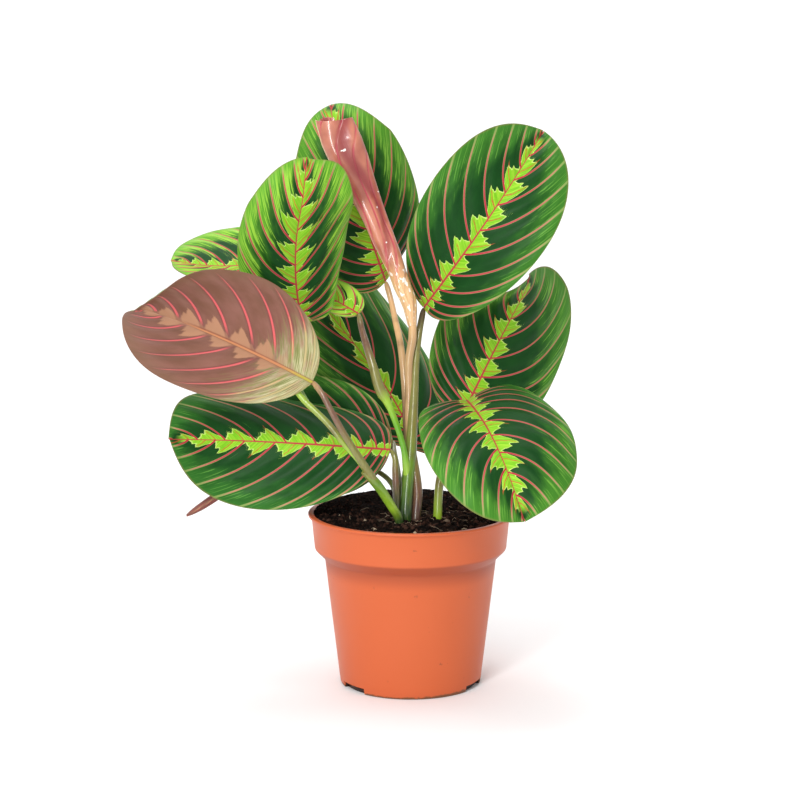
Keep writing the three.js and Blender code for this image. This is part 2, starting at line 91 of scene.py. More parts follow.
class Surface:
    """A material whose nodes are added by short calls, each of which returns the new node's output.
    Most are named for the node they add; a, b and x may be numbers or other nodes' outputs."""

    def __init__(self, name):
        self.material = bpy.data.materials.new(name)
        self.material.use_nodes = True
        self.tree = self.material.node_tree
        self.shader = self.tree.nodes["Principled BSDF"]

    def plug(self, socket, value):
        """Joins an output to a socket, or sets the socket to a plain value or an opaque colour."""
        if isinstance(value, bpy.types.NodeSocket):
            self.tree.links.new(value, socket)
        else:
            socket.default_value = (*value, 1) if socket.type == "RGBA" else value

    def node(self, kind, inputs, output=0, **settings):
        """A node with its settings and inputs filled in."""
        node = self.tree.nodes.new(kind)
        for key, value in settings.items():
            setattr(node, key, value)
        for key, value in inputs.items():
            self.plug(node.inputs[key], value)
        return node.outputs[output]

    def math(self, operation, a, b=0.0):
        return self.node("ShaderNodeMath", {0: a, 1: b}, operation=operation)

    def plus(self, a, b, *more):
        """The sum of two or more values."""
        total = self.math("ADD", a, b)
        return self.plus(total, *more) if more else total

    def times(self, a, b, *more):
        """The product of two or more values."""
        product = self.math("MULTIPLY", a, b)
        return self.times(product, *more) if more else product

    def minus(self, a, b):
        return self.math("SUBTRACT", a, b)

    def swing(self, x, size):
        """Noise about a half made to swing about 0: x less a half, times size."""
        return self.times(self.minus(x, 0.5), size)

    def ramp(self, x, low, high, first=0.0, last=1.0):
        """An S curve from first, where x is low, to last, where x is high; level beyond both."""
        return self.node("ShaderNodeMapRange", {0: x, 1: low, 2: high, 3: first, 4: last},
                         interpolation_type="SMOOTHSTEP")

    def ramps(self, *several):
        """The product of two or more ramps."""
        return self.times(*(self.ramp(*one) for one in several))

    def mix(self, share, a, b):
        """Colour a with a share of colour b in it."""
        return self.node("ShaderNodeMix", {0: share, 6: a, 7: b}, 2, data_type="RGBA")

    def attribute(self, name, output="Fac"):
        return self.node("ShaderNodeAttribute", {}, output, attribute_name=name)

    def coordinates(self):
        return self.node("ShaderNodeTexCoord", {}, "Object")

    def vector(self, x, y, z=0.0):
        return self.node("ShaderNodeCombineXYZ", {0: x, 1: y, 2: z})

    def parts(self, vector):
        """The x, y and z of a vector."""
        return self.node("ShaderNodeSeparateXYZ", {"Vector": vector}).node.outputs

    def noise(self, vector, scale, detail=2.0):
        return self.node("ShaderNodeTexNoise", {"Vector": vector, "Scale": scale, "Detail": detail})

    def bump(self, height, strength, distance):
        inputs = {"Height": height, "Strength": strength, "Distance": distance}
        return self.node("ShaderNodeBump", inputs)

    def finish(self, **settings):
        """Fills the shader's sockets, named with _ for a space, and gives the material."""
        for key, value in settings.items():
            self.plug(self.shader.inputs[key.replace("_", " ")], value)
        return self.material


def turned(profile, columns):
    """A profile of radii and heights turned round Z: x and y are the radius times the cosine and
    the sine of the turn."""
    turn = 2 * np.pi * np.arange(columns) / columns
    radius = profile[:, None, 0]
    return np.stack([radius * np.cos(turn), radius * np.sin(turn),
                     np.repeat(profile[:, 1:], columns, 1)], -1)


def on_pot(row, column):
    """The number of the pot's point in a row of the profile and a column of the turn."""
    return row * POT_COLUMNS + column % POT_COLUMNS


outside = [(0.01, 0), (30, 0), (SLOT_REACH, 0), (41.4, 0), (41.9, 0.25), (42.2, 0.8),
           (42.66, SLOT_HEIGHT), (47, 40), (51.2, 75.4), (51.5, 76.7), (52.0, 77.4), (56.6, 82.0),
           (57.2, 82.7), (57.45, 83.5), (57.5, 84.4), (59.25, 102.2), (59.4, 102.45), (60.8, 102.5),
           (61.1, 102.65), (61.2, 103.0), (61.2, 103.6), (61.05, 103.9), (60.75, POT_HEIGHT)]
inside = [(58.5, POT_HEIGHT), (58.0, 103.8), (57.85, 103.3), (56.1, 85.6), (50.0, 78.4),
          (41.3, SLOT_HEIGHT), (40.8, POT_FLOOR), (SLOT_REACH, POT_FLOOR), (30, POT_FLOOR),
          (0.01, POT_FLOOR)]
profile = np.array(outside + inside, float)

# The slots: quads within them are left out, and a floor, a roof and two ends close each one.
slot_rows = [k for k, (r, z) in enumerate(profile) if r > SLOT_REACH - 0.1 and z < SLOT_HEIGHT + 0.1]
outer, inner = slot_rows[:-3], slot_rows[-3:]
cut_rows = outer[:-1] + inner[:-1]
middle = 360 * (np.arange(POT_COLUMNS) + 0.5) / POT_COLUMNS
in_slot = np.any([np.abs((middle - c + 180) % 360 - 180) < SLOT_HALF_ANGLE for c in SLOT_CENTRES], 0)
faces = [quad for quad in grid_faces(len(profile), POT_COLUMNS, closed=True)
         if not (in_slot[quad[0] % POT_COLUMNS] and quad[0] // POT_COLUMNS in cut_rows)]
for j in np.flatnonzero(in_slot):
    for low, high in ((outer[0], inner[-1]), (inner[0], outer[-1])):
        faces.append((on_pot(low, j), on_pot(low, j + 1), on_pot(high, j + 1), on_pot(high, j)))
    if not in_slot[j - 1]:
        faces.append([on_pot(k, j) for k in inner[::-1] + outer[::-1]])
    if not in_slot[(j + 1) % POT_COLUMNS]:
        faces.append([on_pot(k, j + 1) for k in outer + inner])
faces.append([on_pot(0, j) for j in range(POT_COLUMNS)][::-1])
faces.append([on_pot(len(profile) - 1, j) for j in range(POT_COLUMNS)])
pot_points = turned(profile, POT_COLUMNS).reshape(-1, 3)
pot = make_piece("pot_shell", pot_points, faces, "pot", 35)

# Clouded satin orange with specks, a painted shadow under the collar, a ragged line of dirt round
# the foot that stands higher on the right, and dark slots.
shell = Surface("pot_plastic_look")
place = shell.coordinates()
across, back, height = shell.parts(place)
from_axis = shell.node("ShaderNodeVectorMath", {0: shell.vector(across, back)}, 1, operation="LENGTH")
cloud = shell.noise(place, 18.0, 3.0)
grain = shell.noise(place, 900.0)
specks = shell.ramp(shell.noise(place, 160.0, 4.0), 0.70, 0.76)
colour = shell.mix(cloud, *TERRACOTTA)
colour = shell.mix(shell.times(specks, 0.5), colour, SPECK)
# Painted shadow: a darker band on and just under the collar's underside, where its shadow falls.
painted_collar_shadow = shell.ramps((height, 66 * MM, 77 * MM), (height, 84 * MM, 82 * MM))
colour = shell.mix(shell.times(painted_collar_shadow, 0.6), colour, PAINTED_COLLAR_SHADOW)
ragged = shell.plus(height, shell.times(shell.noise(place, 300.0, 4.0), 3.0 * MM))
ragged = shell.minus(ragged, shell.ramp(across, -5 * MM, 35 * MM, 0.0, 1.2 * MM))
dirty = shell.times(shell.ramp(ragged, 3.0 * MM, 2.0 * MM), 0.8)
colour = shell.mix(dirty, colour, FOOT_DIRT)
within_slot = shell.ramps((from_axis, 41.7 * MM, 41.4 * MM),
                          (height, (SLOT_HEIGHT + 0.4) * MM, (SLOT_HEIGHT - 0.1) * MM))
colour = shell.mix(shell.times(within_slot, 0.94), colour, SLOT_DARK)
pot.data.materials.append(shell.finish(
    Base_Color=colour, Roughness=shell.ramp(cloud, 0.3, 0.7, 0.38, 0.48),
    Specular_IOR_Level=0.35, Normal=shell.bump(grain, 0.05, 0.1 * MM)))


# ------------------------ the soil
# Dark peaty potting mix, loose and crumbly, poured in so that it fills the pot and heaps a little
# over the rim at the back. The shoots stand in it; crumbs, short roots and pale specks lie on top.

SOIL_LEVEL = 103.5
SOIL_CEILING = 105.3
SOIL_RADIUS = 57.5
SOIL_RISE = 1.4
HEAP_HEIGHT = 2.2
RINGS, SPOKES = 150, 420
CRUMBS, LARGEST_CRUMB, CRUMB_CEILING, CRUMB_POINTS = 1900, 2.3, 105.6, 12
FIFTH_TURN, TENTH_TURN = 1.2566, 0.63
ROOTS, ROOT_CEILING, ROOT_RINGS = 80, 105.4, 9
ROOTS_MIDDLE, ROOTS_REACH = (5, -12), 42
PEAT = (0.0015, 0.0010, 0.0008), (0.020, 0.010, 0.007)
RED_PEAT, CRUMB, PALE_SPECK = (0.026, 0.010, 0.006), (0.078, 0.037, 0.025), (0.42, 0.33, 0.23)


def smoothstep(low, high, x):
    """0 before low, 1 past high, and between them 3 times the square of the way t, less 2 times
    its cube."""
    t = np.clip((x - low) / (high - low), 0, 1)
    return t * t * (3 - 2 * t)


def bumps(points, scale, seed):
    """Smooth noise in about -1 to 1 from six crossed sine waves with seeded directions."""
    rng = np.random.default_rng(seed)
    total = np.zeros(points.shape[:-1])
    for _ in range(6):
        wave = rng.normal(size=points.shape[-1]) / scale
        total += np.sin(points @ wave + rng.uniform(0, 6.28))
    return total / 3


def soil_heap(x, y):
    """The loose heap behind the shoots, which reaches over the rim: none in front, full at the back."""
    inwards = smoothstep(SOIL_RADIUS, SOIL_RADIUS - 7, np.hypot(x, y))
    return HEAP_HEIGHT * smoothstep(10, 38, y) * inwards


def soil_height(x, y):
    """The soil's top: a rise to the back, crumbly noise of three sizes, and an edge that is a
    little high but dips in front, all cut off at a ceiling, with the heap laid on."""
    flat = np.stack([x, y], -1)
    height = SOIL_LEVEL + SOIL_RISE * y / SOIL_RADIUS
    height += 0.45 * bumps(flat, 7.0, 1)
    height += 0.6 * bumps(flat, 2.4, 2)
    height += 0.45 * np.abs(bumps(flat, 0.9, 3))
    edge = smoothstep(SOIL_RADIUS - 4, SOIL_RADIUS, np.hypot(x, y))
    height += edge * (0.35 - 1.2 * smoothstep(-15, -40, y))
    return np.minimum(height, SOIL_CEILING) + soil_heap(x, y)


# The bed: a turned wall, and a top of rings of even area.
turn = 2 * np.pi * np.arange(SPOKES) / SPOKES
ring = SOIL_RADIUS * np.sqrt(np.linspace(1, 0.00002, RINGS))[:, None]
x, y = ring * np.cos(turn), ring * np.sin(turn)
wall = np.array([(0.01, 2.4), (40.2, 2.4), (49.2, 77.6), (55.6, 84.6), (56.9, 98)])
bed = np.concatenate([turned(wall, SPOKES), np.stack([x, y, soil_height(x, y)], -1)])
soil_faces = [*grid_faces(len(bed), SPOKES, closed=True), list(range(SPOKES))[::-1],
              list(range((len(bed) - 1) * SPOKES, len(bed) * SPOKES))]
soil_points, crumb_shade = [bed.reshape(-1, 3)], [np.zeros(len(bed) * SPOKES)]
start = len(soil_points[0])

# Crumbs: a ball of twenty triangles, each time with its corners drawn in or out. Few are pale.
rng = np.random.default_rng(7)
ball = np.array([(0, 0, 1)]
                + [(math.cos(a), math.sin(a), 0.35) for a in np.arange(5) * FIFTH_TURN]
                + [(math.cos(a), math.sin(a), -0.35) for a in np.arange(5) * FIFTH_TURN + TENTH_TURN]
                + [(0, 0, -1)])
ball /= np.linalg.norm(ball, axis=1)[:, None]
ball_faces = np.array([(0, 1 + k, 1 + (k + 1) % 5) for k in range(5)]
                      + [(1 + k, 6 + k, 1 + (k + 1) % 5) for k in range(5)]
                      + [(1 + (k + 1) % 5, 6 + k, 6 + (k + 1) % 5) for k in range(5)]
                      + [(11, 6 + (k + 1) % 5, 6 + k) for k in range(5)])
for _ in range(CRUMBS):
    reach = (SOIL_RADIUS - 2) * math.sqrt(rng.random())
    angle = rng.uniform(0, 2 * np.pi)
    x, y = reach * math.cos(angle), reach * math.sin(angle)
    size = rng.uniform(0.3, 1.0) ** 2.2 * LARGEST_CRUMB
    lump = ball * rng.uniform(0.55, 1.2, (CRUMB_POINTS, 1)) * size * rng.uniform(0.5, 1.3, 3)
    height = min(float(soil_height(np.array(x), np.array(y))) + 0.05 * size,
                 CRUMB_CEILING + float(soil_heap(x, y)) - 1.2 * size)
    soil_points.append(lump + [x, y, height])
    crumb_shade.append(np.full(CRUMB_POINTS, rng.random() * (1 if rng.random() > 0.03 else 3)))
    soil_faces += [*(ball_faces + start)]
    start += CRUMB_POINTS

# Short roots: thin three-sided threads that bow sideways and lift in the middle.
s = np.linspace(0, 1, ROOT_RINGS)
for _ in range(ROOTS):
    reach, angle, heading = ROOTS_REACH * rng.random(), rng.uniform(0, 6.28), rng.uniform(0, 6.28)
    length, bow = rng.uniform(3, 10), rng.uniform(-1, 1)
    run, arc = length * s, bow * np.sin(np.pi * s)
    ahead, aslant = math.cos(heading), math.sin(heading)
    x = ROOTS_MIDDLE[0] + reach * math.cos(angle) + run * ahead - arc * aslant
    y = ROOTS_MIDDLE[1] + 0.7 * reach * math.sin(angle) + run * aslant + arc * ahead
    z = np.minimum(soil_height(x, y) + 0.5 + rng.uniform(0, 1.2) * np.sin(np.pi * s), ROOT_CEILING)
    thick = rng.uniform(0.08, 0.18)
    offsets = [(-math.cos(a) * aslant, math.cos(a) * ahead, math.sin(a)) for a in (0, 2.1, 4.2)]
    threads = [np.stack([x, y, z], -1) + thick * np.array(offset) for offset in offsets]
    soil_points.append(np.stack(threads, 1).reshape(-1, 3))
    crumb_shade.append(np.full(3 * ROOT_RINGS, 3.0 if rng.random() < 0.3 else rng.uniform(1.2, 2.0)))
    soil_faces += [*grid_faces(ROOT_RINGS, 3, start, closed=True)]
    soil_faces += [(start + 2, start + 1, start), (start + 24, start + 25, start + 26)]
    start += 3 * ROOT_RINGS
soil = make_piece("soil_bed", np.concatenate(soil_points), soil_faces, "soil", 180,
                  {"shade": np.concatenate(crumb_shade)})

# Nearly black between the grains; the shade attribute makes crumbs brown and specks and roots pale.
earth = Surface("soil_look")
place = earth.coordinates()
fine = earth.noise(place, 700.0, 4.0)
patch = earth.noise(place, 130.0, 3.0)
shade = earth.attribute("shade")
colour = earth.mix(earth.ramp(fine, 0.42, 0.72), *PEAT)
colour = earth.mix(earth.times(earth.ramp(patch, 0.5, 0.75), 0.5), colour, RED_PEAT)
colour = earth.mix(earth.ramp(shade, 0.4, 1.0, 0.0, 0.7), colour, CRUMB)
colour = earth.mix(earth.ramp(shade, 1.4, 2.6), colour, PALE_SPECK)
soil.data.materials.append(earth.finish(
    Base_Color=colour, Roughness=1.0, Specular_IOR_Level=0.08,
    Normal=earth.bump(fine, 0.9, 0.8 * MM)))


# ------------------------ the leaves
# Twelve open blades, each a thin living sheet that grew on its petiole, pleated between its side
# veins. The upper face is satin green with a lime band and red veins, the underside mauve brown.

BLADE_ROWS, BLADE_ENDS = 110, (0.004, 0.997)
HALF_COLUMNS, COLUMN_CROWDING = 24, 1.5
BLADE_THICKNESS = 0.5
WIDTH_TRIM = 0.3
VEINS, TIP_VEINS, TIP_VEINS_FROM = 10.2, 17, 0.55
VEIN_CROWDING = 2.9
VEIN_LEAN = 0.3
VEIN_SPREAD = 0.72
BASE_FULLNESS, TIP_FULLNESS, LOBE_FULLNESS = 0.86, 1.1, 0.24
LOBE_DROP, LOBE_END = 0.03, 0.36
FINE_POINT = 0.025
PLEAT, WAVE, SAG = 0.5, 0.9, 0.5
FULL_GAP, FULL_HALF = 8, 45
KEEL_HEIGHT, KEEL_WIDTH = (0.25, 0.9), (0.5, 1.5)
RIB_GROOVE, RIB_GROOVE_WIDTH = 0.18, 1.1

# Each blade: three points of its midrib, the widths of its left and right halves, the way its face
# looks, the turn along it, the fold at the midrib, how far each half cups, how lobed its base is, its
# brightness, its band's width, and the shift of the veins in each half. Some also have a tip that
# curls down past a share of the length, shoulders that bulge near the tip, or fewer veins.
LEAVES = {
    "leaf_top": dict(
        base=(-15, 38, 238), middle=(-29, 22, 282), tip=(-53, 30, 356), halves=(39, 44),
        face=(-0.09, -0.78, 0.62), twist=-23, fold=2, cup=(-41, -58), lobe=-0.2, curl=(0.79, 93),
        bright=0.5, band=11.5, phases=(0.54, 0.4)),
    "leaf_upper_left": dict(
        base=(-63, -25, 221), middle=(-66, -31, 268), tip=(-54, -52, 315), halves=(35, 37),
        face=(0.4, -0.79, 0.46), twist=-11, fold=7, cup=(-51, -34), lobe=1, curl=(0.71, 81),
        shoulders=(0.01, 0.13), bright=0.8, band=13.0, phases=(0.25, 0.85)),
    "leaf_upper_right": dict(
        base=(8, 8, 226), middle=(47, -15, 284), tip=(78, 15, 330), halves=(40, 38),
        face=(0.23, -0.74, 0.64), twist=2, fold=13, cup=(6, -26), lobe=-0.1,
        bright=0.2, band=10.2, phases=(0.05, 0.57)),
    "leaf_middle_right": dict(
        base=(30, 20, 156), middle=(53, 33, 201), tip=(72, -1, 245), halves=(39, 51),
        face=(0.36, -0.81, 0.45), twist=9, fold=-5, cup=(-33, -32), lobe=-0.2, curl=(0.8, 12),
        bright=0.35, band=9.6, phases=(0.4, 0.5)),
    "leaf_lower_right": dict(
        base=(33, -16, 174), middle=(48, -73, 158), tip=(63, -96, 119), halves=(51, 41),
        face=(-0.01, -0.68, 0.73), twist=-9, fold=20, cup=(-66, -39), lobe=1.6,
        shoulders=(0.02, 0.03), bright=0.3, band=11.5, phases=(0.65, 0.45)),
    "leaf_left_front": dict(
        base=(-57, -37, 189), middle=(-113, -58, 220), tip=(-154, -86, 239), halves=(47, 47),
        face=(0.69, 0.7, -0.17), twist=-1, fold=9, cup=(-15, -10), lobe=-0.3, curl=(0.89, 24),
        shoulders=(0.07, -0.01), bright=0.4, band=11.0, phases=(0.6, 0.24)),
    "leaf_left_lower": dict(
        base=(-12, -12, 144), middle=(-86, -3, 147), tip=(-142, -22, 152), halves=(41, 49),
        face=(0.21, -0.85, 0.49), twist=-20, fold=-5, cup=(-20, -60), lobe=-0.2,
        bright=0.05, band=9.4, phases=(0.95, 0.6)),
    "leaf_left_back": dict(
        base=(-11, 21, 143), middle=(-67, 34, 144), tip=(-139, 43, 156), halves=(39, 39),
        face=(0, -0.92, 0.36), twist=1, fold=5, cup=(-10, -12), lobe=-0.3,
        bright=0.2, band=9.0, phases=(0.3, 0.8)),
    "leaf_left_small": dict(
        base=(-64, 10, 255), middle=(-108, 14, 250), tip=(-142, 12, 254), halves=(20, 47),
        face=(-0.1, -0.48, 0.87), twist=25, fold=3, cup=(-5, -16), lobe=0.3,
        shoulders=(0.08, 0.03), bright=1.0, band=8.0, phases=(0.1, 0.45)),
    "leaf_back_centre": dict(
        base=(1, 62, 130), middle=(-18, 71, 172), tip=(-76, 62, 245), halves=(38, 60),
        face=(0.49, -0.8, 0.35), twist=-5, fold=2, cup=(-8, -50), lobe=1.8,
        shoulders=(0.05, 0.04), bright=0.3, band=6.6, phases=(0.55, 0.7)),
    "leaf_small": dict(
        base=(-31, 2, 223), middle=(-45, 10, 230), tip=(-63, 18, 238), halves=(15, 14),
        face=(0.1, -0.6, 0.8), twist=0, fold=12, cup=(10, 10), lobe=0.3,
        bright=2.2, band=8.5, phases=(0.0, 0.5), veins=0.5),
    "leaf_hanging": dict(
        base=(-90, 7, 133), middle=(-110, 3, 117), tip=(-134, -3, 102), halves=(5, 5),
        face=(0.3, 0.9, 0.1), twist=0, fold=50, cup=(20, 20), lobe=0,
        bright=0.3, band=1.5, phases=(0.0, 0.5)),
}


def unit(v):
    """Each vector divided by its length."""
    return v / np.linalg.norm(v, axis=-1, keepdims=True)


def vein_count(t):
    """How many side veins lie between the base and t: evenly spaced, with more towards the tip by
    the cube of the way past TIP_VEINS_FROM."""
    return VEINS * t + TIP_VEINS * np.maximum(t - TIP_VEINS_FROM, 0) ** 3


def flat_blade(t, v, lobe, shoulder):
    """Shares of length and half width: side vein t runs as a quadratic curve from the midrib, at
    t to the power VEIN_CROWDING, to the margin, which is a sine of t to a power that fixes its
    fullness; a shoulder bulges towards the tip by a squared sine past the middle."""
    root = t ** VEIN_CROWDING
    low = BASE_FULLNESS - LOBE_FULLNESS * lobe
    power = low + (TIP_FULLNESS - low) * smoothstep(0, 1, t)
    end = (1 - FINE_POINT) / 2 * (1 - np.cos(np.pi * t)) + FINE_POINT * t ** 10
    end -= LOBE_DROP * lobe * np.sin(np.pi * np.minimum(t / LOBE_END, 1))
    end += shoulder * np.sin(np.pi * np.maximum(2 * t - 1, 0)) ** 2
    reach = np.maximum(np.sin(np.pi * t), 0) ** power
    bend = root + VEIN_LEAN * (end - root)
    along = (1 - v) ** 2 * root + 2 * v * (1 - v) * bend + v * v * end
    return along, 2 * v * (1 - v) * VEIN_SPREAD * reach + v * v * reach


def midrib(leaf, share):
    """The midrib's points, and its directions along, up out of the upper face and to the right. It
    is a quadratic curve through the three points, turned by the twist, then rolled down about a
    circle past the start of the curl."""
    base, middle, tip = (np.array(leaf[k], float) for k in ("base", "middle", "tip"))
    pull = 2 * middle - 0.5 * (base + tip)
    s = share[..., None]
    point = (1 - s) ** 2 * base + 2 * s * (1 - s) * pull + s * s * tip
    along = unit((1 - s) * (pull - base) + s * (tip - pull))
    up = np.array(leaf["face"], float)
    up = unit(up - (along @ up)[..., None] * along)
    right = np.cross(along, up)
    turn = np.radians(leaf["twist"]) * (s - 0.5)
    up, right = up * np.cos(turn) + right * np.sin(turn), right * np.cos(turn) - up * np.sin(turn)
    if "curl" in leaf:
        start, angle = leaf["curl"]
        length = np.linalg.norm(tip - base) * (1 - start)
        past = np.maximum(s - start, 0) / (1 - start) * length
        radius = length / math.radians(angle)
        turn = past / radius
        point = point + along * (radius * np.sin(turn) - past) - up * radius * (1 - np.cos(turn))
        along, up = along * np.cos(turn) - up * np.sin(turn), up * np.cos(turn) + along * np.sin(turn)
    return point, along, up, right


def blade_surface(leaf, t, v, side):
    """The blade's middle surface and its upward normal: each half is an arc that leaves the midrib
    at the fold angle and bends by its cup angle. The share of length and the width go with them."""
    shoulders = leaf.get("shoulders", (0, 0))
    share, reach = flat_blade(t, v, leaf["lobe"], np.where(side < 0, *shoulders))
    point, along, up, right = midrib(leaf, share)
    width = np.where(side < 0, *leaf["halves"]) - WIDTH_TRIM
    bend = np.radians(np.where(side < 0, *leaf["cup"])) / width
    fold = math.radians(leaf["fold"])
    angle = fold + bend * reach * width
    sideways = (side * (np.sin(angle) - math.sin(fold)) / bend)[..., None]
    rise = ((math.cos(fold) - np.cos(angle)) / bend)[..., None]
    out = up * np.cos(angle)[..., None] - right * (side * np.sin(angle))[..., None]
    return point + right * sideways + up * rise, out, share, reach * width


def sheet_faces(rows, columns):
    """The faces of a sheet with two skins whose points are numbered one skin after the other: the
    first skin, the second, and the margin that joins their edges."""
    size = rows * columns
    index = np.arange(size).reshape(rows, columns)
    loop = np.concatenate([index[0, :-1], index[:-1, -1], index[-1, :0:-1], index[:0:-1, 0]])
    after = np.roll(loop, -1)
    margin = np.stack([loop, after, after + size, loop + size], -1)
    return grid_faces(rows, columns)[:, ::-1], grid_faces(rows, columns, size), margin


def twice(values):
    """Values for one skin's points, then the same for the other's."""
    return np.tile(np.ravel(values), 2)


def make_leaf(name, leaf, number):
    """One blade as two skins with a margin between them. Rows follow the side veins, so that
    the pleats, the veins and the lime band all read the vein number and the way along it. Pleats
    are a cosine of the vein number, full where veins lie FULL_GAP apart. The margin waves and the
    whole sags by smooth noise. A keel under the midrib and a groove above it are bell curves."""
    t, u = np.meshgrid(np.linspace(*BLADE_ENDS, BLADE_ROWS), np.linspace(-1, 1, 2 * HALF_COLUMNS + 1),
                       indexing="ij")
    side = np.where(u < 0, -1.0, 1.0)
    v = np.abs(u) ** COLUMN_CROWDING
    surface, out, share, aside = blade_surface(leaf, t, v, side)
    vein = vein_count(t) * leaf.get("veins", 1) - np.where(side < 0, *leaf["phases"])

    # Millimetres out from the midrib over the blade, and across the gap between two veins.
    steps = np.linalg.norm(np.diff(surface, axis=1), axis=-1)
    mid = HALF_COLUMNS
    reach = np.zeros_like(t)
    reach[:, mid + 1:] = np.cumsum(steps[:, mid:], 1)
    reach[:, :mid] = np.cumsum(steps[:, :mid][:, ::-1], 1)[:, ::-1]
    outwards = unit(np.gradient(surface, axis=1))
    onwards = np.gradient(surface, axis=0)
    gap = np.linalg.norm(np.cross(onwards, outwards), axis=-1) / np.gradient(vein, axis=0)

    # Pleats, waves and sag lift the middle skin, and the two faces lie half a thickness off it.
    half = np.where(side < 0, *leaf["halves"])
    body = smoothstep(0.02, 0.25, v) * smoothstep(1.0, 0.8, v)
    pleat = -PLEAT * np.cos(2 * np.pi * vein) * body * np.minimum(gap / FULL_GAP, 1)
    wave = WAVE * smoothstep(0.45, 1.0, v) * bumps(np.stack([share * 9, side], -1), 1.0, 40 + number)
    sag = SAG * smoothstep(0.05, 0.4, v) * bumps(surface, 16.0, 60 + number)
    middle_skin = surface + out * (pleat + wave * half / FULL_HALF + sag)[..., None]
    thin = BLADE_THICKNESS * (0.5 - 0.22 * smoothstep(0.85, 1, v))
    keel, keel_width = (tip + base * (1 - share) for tip, base in (KEEL_HEIGHT, KEEL_WIDTH))
    keel = keel * np.exp(-(reach / keel_width) ** 2)
    groove = RIB_GROOVE * np.exp(-(reach / RIB_GROOVE_WIDTH) ** 2)
    skins = [middle_skin + out * (thin - groove)[..., None],
             middle_skin - out * (thin + keel)[..., None]]

    top, bottom, margin = sheet_faces(*t.shape)
    numbers = dict(vein=vein, reach=reach, aside=aside, gap=gap, edge=v, share=share, side=side,
                   bright=np.full_like(t, leaf["bright"]), widest=np.full_like(t, leaf["band"]),
                   number=np.full_like(t, number))
    numbers = {key: twice(values) for key, values in numbers.items()}
    piece = make_piece(name + "_blade", np.concatenate(skins).reshape(-1, 3),
                       np.concatenate([top, bottom, margin]), name, 50, numbers)
    piece.data.materials.append(upper_look)
    piece.data.materials.append(under_look)
    which = [0] * len(top) + [1] * (len(bottom) + len(margin))
    piece.data.polygons.foreach_set("material_index", which)


TOOTH_EDGE = ((0.0, 0.36), (0.05, 0.34), (0.11, 0.48), (0.19, 0.74), (0.26, 0.92), (0.33, 1.0),
              (0.41, 0.80), (0.49, 0.62), (0.55, 0.58), (0.63, 0.66), (0.72, 0.44), (0.82, 0.28),
              (0.92, 0.14), (1.0, 0.26))


def leaf_marks(look):
    """The marks that both faces share, from the vein number and the way out from the midrib: lines
    on the whole numbers, and between two lines a lobed lime tooth whose edge follows TOOTH_EDGE."""
    m = SimpleNamespace(**{key: look.attribute(key) for key in (
        "vein", "reach", "gap", "aside", "edge", "share", "side", "number", "bright", "widest")})
    m.within = look.math("FRACT", m.vein)
    m.from_vein = look.times(m.gap, look.math("MINIMUM", m.within, look.minus(1.0, m.within)))

    # Two numbers drawn for each tooth, and the place within it, shifted by one of them and by noise.
    seed = look.vector(look.math("FLOOR", m.vein), look.times(m.side, 3.0), m.number)
    chance = look.node("ShaderNodeTexWhiteNoise", {"Vector": seed}, noise_dimensions="3D")
    other = look.math("FRACT", look.times(chance, 7.31))
    place = look.vector(look.times(m.vein, 3.0), look.times(m.reach, 0.25), m.number)
    wobble = look.swing(look.noise(place, 1.0, 1.0), 0.12)
    shifted = look.plus(m.within, wobble, look.swing(other, 0.10))

    # The band: each tooth's edge, fused near the base, times its widest reach at this share.
    tooth = look.node("ShaderNodeValToRGB", {0: shifted})
    stops = tooth.node.color_ramp.elements
    for k, (position, value) in enumerate(TOOTH_EDGE):
        stop = stops[k] if k < 2 else stops.new(position)
        stop.position, stop.color = position, (value, value, value, 1)
    fused = look.times(look.ramp(m.vein, 4.2, 1.6), 0.7)
    tooth = look.plus(look.times(tooth, look.minus(1.0, fused)), look.times(fused, 0.72))
    widest = look.times(look.ramps((m.share, 0.62, 0.96, 1.0, 0.36), (m.share, 0.0, 0.2, 0.66, 1.0)),
                        look.plus(0.84, look.times(chance, 0.28)), m.widest)
    m.inside = look.minus(look.times(tooth, widest), m.aside)
    m.band = look.ramps((m.inside, -0.12, 0.18), (m.share, 0.965, 0.91))

    # Side veins, the finer vein up each tooth, and the midrib.
    vein_width = look.math("MINIMUM", look.ramp(m.edge, 0.0, 0.95, 0.46, 0.32), look.times(m.gap, 0.10))
    m.line = look.ramps((look.minus(m.from_vein, vein_width), 0.16, -0.12), (m.edge, 0.97, 0.84))
    fine = look.times(m.gap, look.math("ABSOLUTE", look.minus(shifted, 0.34)))
    fine = look.ramp(look.plus(fine, look.times(m.aside, 0.012)), 0.42, 0.2)
    fine_end = look.times(widest, look.plus(0.6, look.times(other, 0.6)))
    m.fine_vein = look.times(fine, look.ramp(look.minus(m.aside, fine_end), 0.8, -0.8),
                             look.ramp(m.vein, 2.6, 3.4))
    m.rib = look.ramp(look.minus(m.aside, look.ramp(m.share, 0.0, 0.9, 0.68, 0.24)), 0.25, -0.2)
    return m


def drawn_out(look, m, between, out):
    """Noise that is drawn out along the side veins: its two scales are between two veins and, per
    millimetre, out from the midrib."""
    place = look.vector(look.times(m.vein, between), look.times(m.reach, out), m.number)
    return look.noise(place, 1.0, 3.0)


